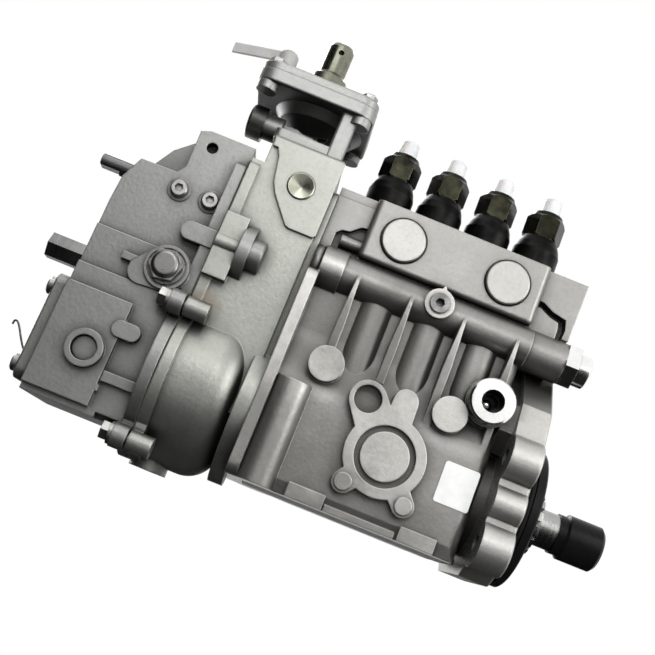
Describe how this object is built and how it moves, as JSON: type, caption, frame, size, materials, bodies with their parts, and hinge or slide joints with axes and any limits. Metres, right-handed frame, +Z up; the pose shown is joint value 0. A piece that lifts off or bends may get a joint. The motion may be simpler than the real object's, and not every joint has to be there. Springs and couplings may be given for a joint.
{
  "type": "diesel injection pump",
  "caption": "Flange-mounted in-line diesel injection pump with a mechanical governor, a boost compensator and capped delivery valve holders.",
  "frame": {"origin": "on the camshaft axis, in the face of the mounting flange", "axes": "+X along the camshaft towards the drive end, +Z up along the pumping elements, -Y towards the side with the blanked supply-pump pad"},
  "size_m": [0.3985, 0.124, 0.316],
  "materials": {
    "cast_pump": "as cast, satin",
    "cast_front": "as cast, satin",
    "cast_rear": "as cast, satin, darker",
    "black_oxide": "black oxide with an oily sheen",
    "ground_steel": "ground and oiled",
    "spring_steel": "dark spring wire",
    "dark_cover": "black, satin",
    "seal_rubber": "matte",
    "black_plastic": "matte",
    "white_plastic": "translucent white",
    "zinc_plate": "bright zinc plate",
    "olive_zinc": "yellow-olive zinc plate",
    "plug_steel": "dull plated steel",
    "gasket": "dark fibre"
  },
  "bodies": {
    "pump": {"pump_housing": "cast_pump", "base_cover": "cast_pump", "valve_holder_1": "black_oxide", "valve_holder_2": "black_oxide", "valve_holder_3": "black_oxide", "valve_holder_4": "black_oxide", "outlet_caps": "white_plastic", "delivery_valves": "ground_steel", "barrels": "ground_steel", "plunger_spring_1": "spring_steel", "plunger_spring_2": "spring_steel", "plunger_spring_3": "spring_steel", "plunger_spring_4": "spring_steel", "bearings": "ground_steel", "bearing_cover": "dark_cover", "pilot_ring": "seal_rubber", "rack_cap_nut": "zinc_plate", "inlet_fitting": "zinc_plate", "vent_plug": "ground_steel", "block_discs": "cast_pump", "governor_front": "cast_front", "governor_gasket": "gasket", "governor_rear": "cast_rear", "end_plate": "cast_rear", "end_screws": "zinc_plate", "seam_bolts": "zinc_plate", "governor_spring": "spring_steel", "domed_plug": "plug_steel", "side_plug": "olive_zinc", "ring_plug": "cast_rear", "cover_screws": "zinc_plate", "side_cap": "cast_rear", "comp_housing": "cast_front", "comp_lid": "cast_front", "comp_screws": "zinc_plate", "boost_stub": "olive_zinc", "adjuster_cap": "black_plastic", "side_fitting": "zinc_plate"},
    "camshaft": {"camshaft": "ground_steel", "drive_cap": "black_plastic", "weight_carrier": "ground_steel"},
    "tappet_1": {"roller_tappet_1": "ground_steel", "plunger_1": "ground_steel"},
    "tappet_2": {"roller_tappet_2": "ground_steel", "plunger_2": "ground_steel"},
    "tappet_3": {"roller_tappet_3": "ground_steel", "plunger_3": "ground_steel"},
    "tappet_4": {"roller_tappet_4": "ground_steel", "plunger_4": "ground_steel"},
    "sleeve_1": {"control_sleeve_1": "ground_steel"},
    "sleeve_2": {"control_sleeve_2": "ground_steel"},
    "sleeve_3": {"control_sleeve_3": "ground_steel"},
    "sleeve_4": {"control_sleeve_4": "ground_steel"},
    "rack": {"control_rack": "ground_steel"},
    "weight_1": {"flyweight_1": "ground_steel"},
    "weight_2": {"flyweight_2": "ground_steel"},
    "governor_sleeve": {"governor_sleeve": "ground_steel"},
    "upper_lever": {"upper_shaft": "ground_steel"},
    "lower_lever": {"lower_shaft": "ground_steel"},
    "compensator": {"comp_rod": "ground_steel"}
  },
  "joints": [
    {"name": "camshaft_spin", "type": "hinge", "parent": "pump", "child": "camshaft", "pos_m": [0, 0, 0], "axis": [1, 0, 0], "continuous": true},
    {"name": "tappet_1_slide", "type": "slide", "parent": "pump", "child": "tappet_1", "axis": [0, 0, 1], "range_m": [-0.007, 0], "deforming": ["plunger_spring_1"]},
    {"name": "tappet_2_slide", "type": "slide", "parent": "pump", "child": "tappet_2", "axis": [0, 0, 1], "range_m": [-0.007, 0], "deforming": ["plunger_spring_2"]},
    {"name": "tappet_3_slide", "type": "slide", "parent": "pump", "child": "tappet_3", "axis": [0, 0, 1], "range_m": [-0.007, 0], "deforming": ["plunger_spring_3"]},
    {"name": "tappet_4_slide", "type": "slide", "parent": "pump", "child": "tappet_4", "axis": [0, 0, 1], "range_m": [-0.007, 0], "deforming": ["plunger_spring_4"]},
    {"name": "sleeve_1_turn", "type": "hinge", "parent": "pump", "child": "sleeve_1", "pos_m": [-0.036, 0, 0.097], "axis": [0, 0, 1], "range_deg": [-19.6, 19.6]},
    {"name": "sleeve_2_turn", "type": "hinge", "parent": "pump", "child": "sleeve_2", "pos_m": [-0.071, 0, 0.097], "axis": [0, 0, 1], "range_deg": [-19.6, 19.6]},
    {"name": "sleeve_3_turn", "type": "hinge", "parent": "pump", "child": "sleeve_3", "pos_m": [-0.106, 0, 0.097], "axis": [0, 0, 1], "range_deg": [-19.6, 19.6]},
    {"name": "sleeve_4_turn", "type": "hinge", "parent": "pump", "child": "sleeve_4", "pos_m": [-0.141, 0, 0.097], "axis": [0, 0, 1], "range_deg": [-19.6, 19.6]},
    {"name": "rack_slide", "type": "slide", "parent": "pump", "child": "rack", "axis": [1, 0, 0], "range_m": [-0.01, 0.01]},
    {"name": "weight_1_swing", "type": "hinge", "parent": "camshaft", "child": "weight_1", "pos_m": [-0.197, 0.024, 0], "axis": [0, 0, -1], "range_deg": [0, 8]},
    {"name": "weight_2_swing", "type": "hinge", "parent": "camshaft", "child": "weight_2", "pos_m": [-0.197, -0.024, 0], "axis": [0, 0, 1], "range_deg": [0, 8]},
    {"name": "governor_sleeve_slide", "type": "slide", "parent": "pump", "child": "governor_sleeve", "axis": [-1, 0, 0], "range_m": [0, 0.0019], "stiffness_N_per_m": 4000, "springref_m": -0.004, "deforming": ["governor_spring"]},
    {"name": "upper_lever_turn", "type": "hinge", "parent": "pump", "child": "upper_lever", "pos_m": [-0.303, -0.005, 0.116], "axis": [1, 0, 0], "range_deg": [-20, 20]},
    {"name": "lower_lever_turn", "type": "hinge", "parent": "pump", "child": "lower_lever", "pos_m": [-0.303, -0.005, 0.0505], "axis": [1, 0, 0], "range_deg": [-20, 20]},
    {"name": "compensator_stroke", "type": "slide", "parent": "pump", "child": "compensator", "axis": [0, 0, -1], "range_m": [0, 0.004], "stiffness_N_per_m": 600, "springref_m": -0.004}
  ],
  "couplings": [
    {"joint": "sleeve_1_turn", "follows": "rack_slide", "rad_per_m": 33.9},
    {"joint": "sleeve_2_turn", "follows": "rack_slide", "rad_per_m": 33.9},
    {"joint": "sleeve_3_turn", "follows": "rack_slide", "rad_per_m": 33.9},
    {"joint": "sleeve_4_turn", "follows": "rack_slide", "rad_per_m": 33.9},
    {"joint": "weight_1_swing", "follows": "governor_sleeve_slide", "rad_per_m": 73.4},
    {"joint": "weight_2_swing", "follows": "governor_sleeve_slide", "rad_per_m": 73.4}
  ]
}
